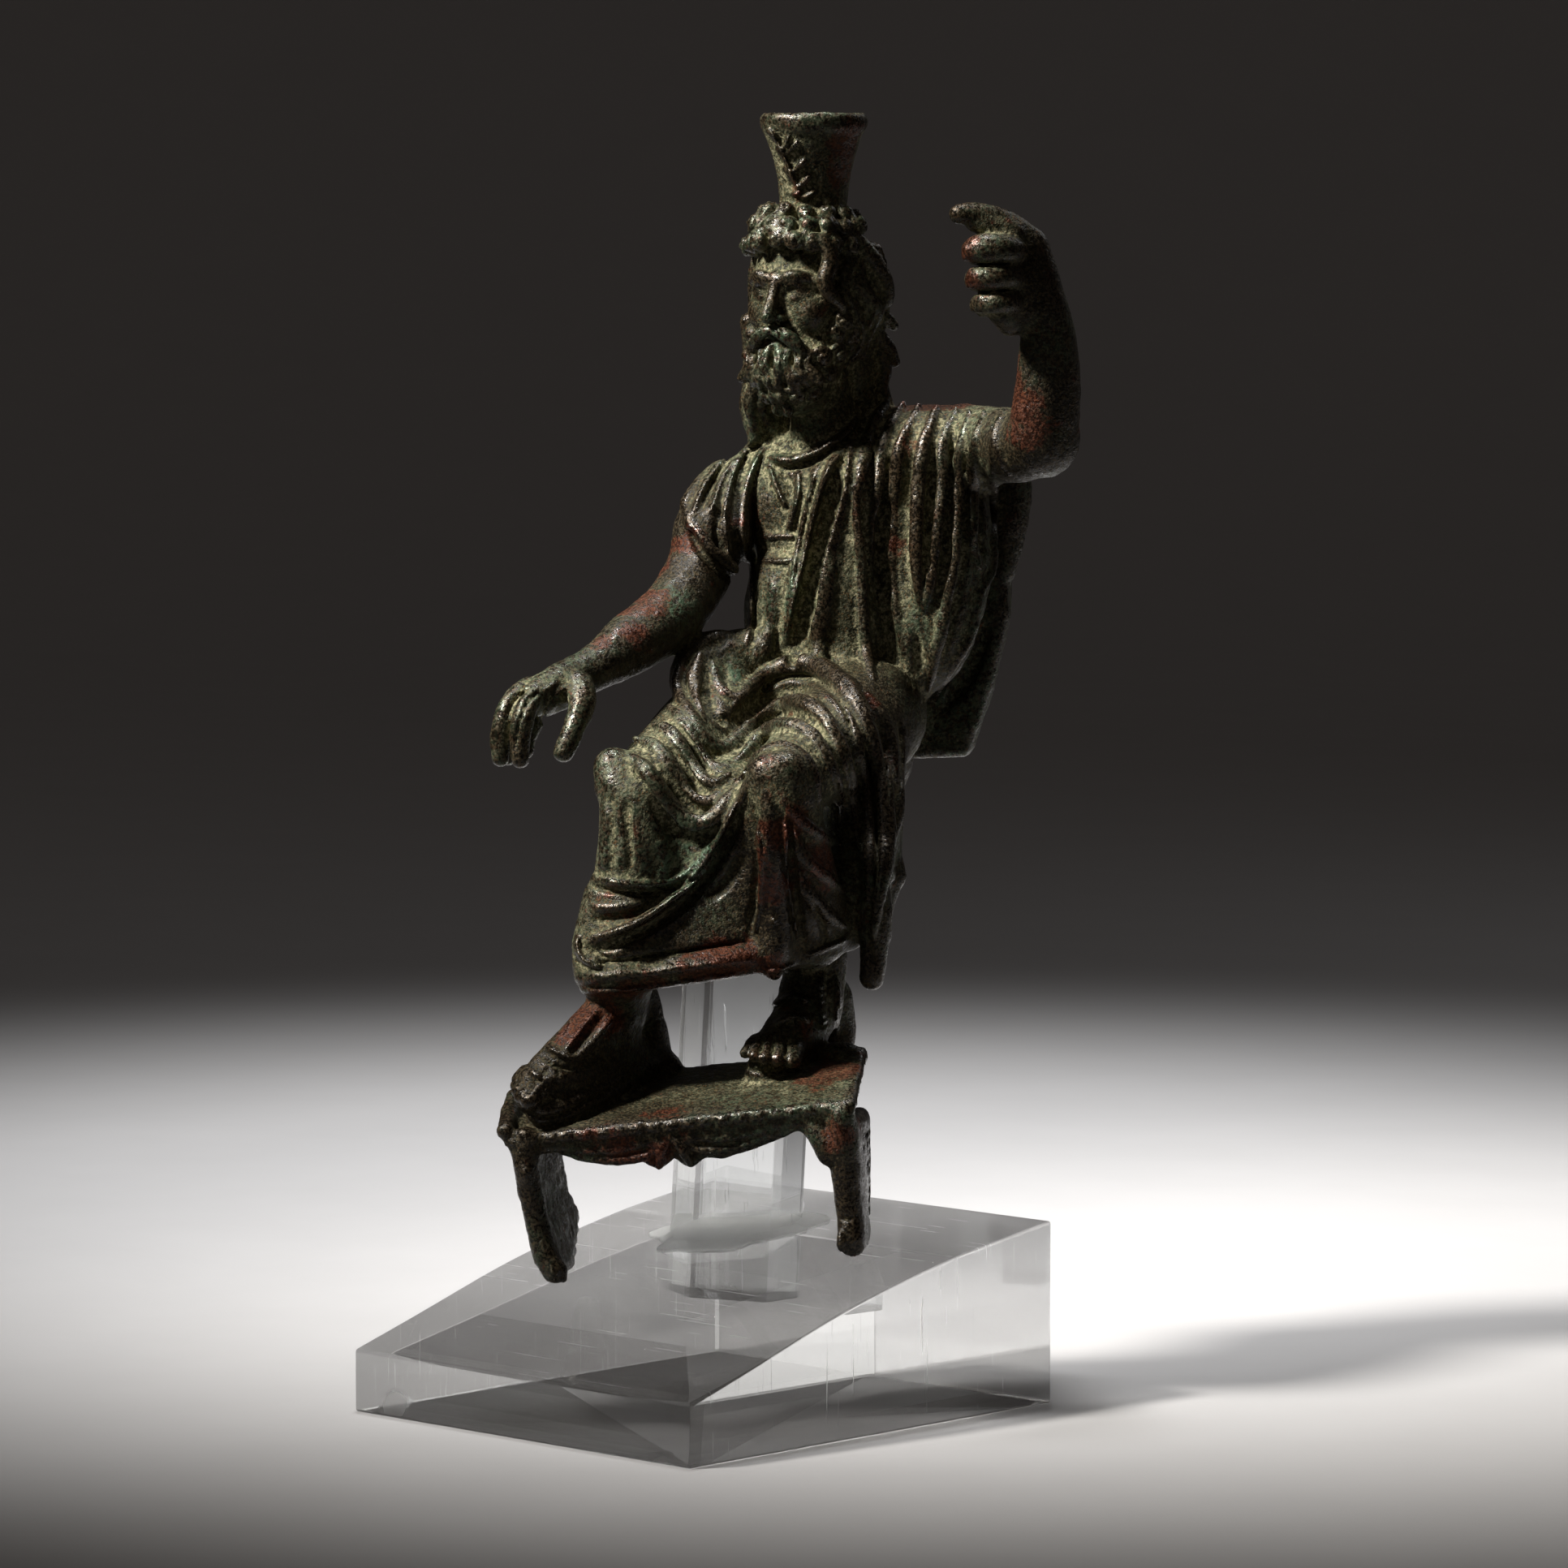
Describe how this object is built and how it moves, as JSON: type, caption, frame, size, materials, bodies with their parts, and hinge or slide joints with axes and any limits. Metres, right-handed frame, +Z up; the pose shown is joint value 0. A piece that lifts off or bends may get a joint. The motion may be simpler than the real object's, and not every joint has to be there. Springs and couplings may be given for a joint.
{
  "type": "seated serapis statuette",
  "caption": "Seated bearded god with a tall turned headdress and footstool, in dark bronze, held by a clear acrylic post on a clear acrylic wedge block.",
  "frame": {"origin": "centre of the acrylic block's underside", "axes": "+Z up, -Y towards the block's low front face, +X to the right seen from the front"},
  "size_m": [0.068, 0.1021, 0.1874],
  "materials": {
    "dark_bronze": "dark green-brown bronze patina with red-brown patches, grainy",
    "clear_acrylic": "polished clear acrylic with fine scratches"
  },
  "bodies": {
    "root": {"serapis_bronze": "dark_bronze", "acrylic_post": "clear_acrylic", "acrylic_block": "clear_acrylic"}
  },
  "joints": []
}
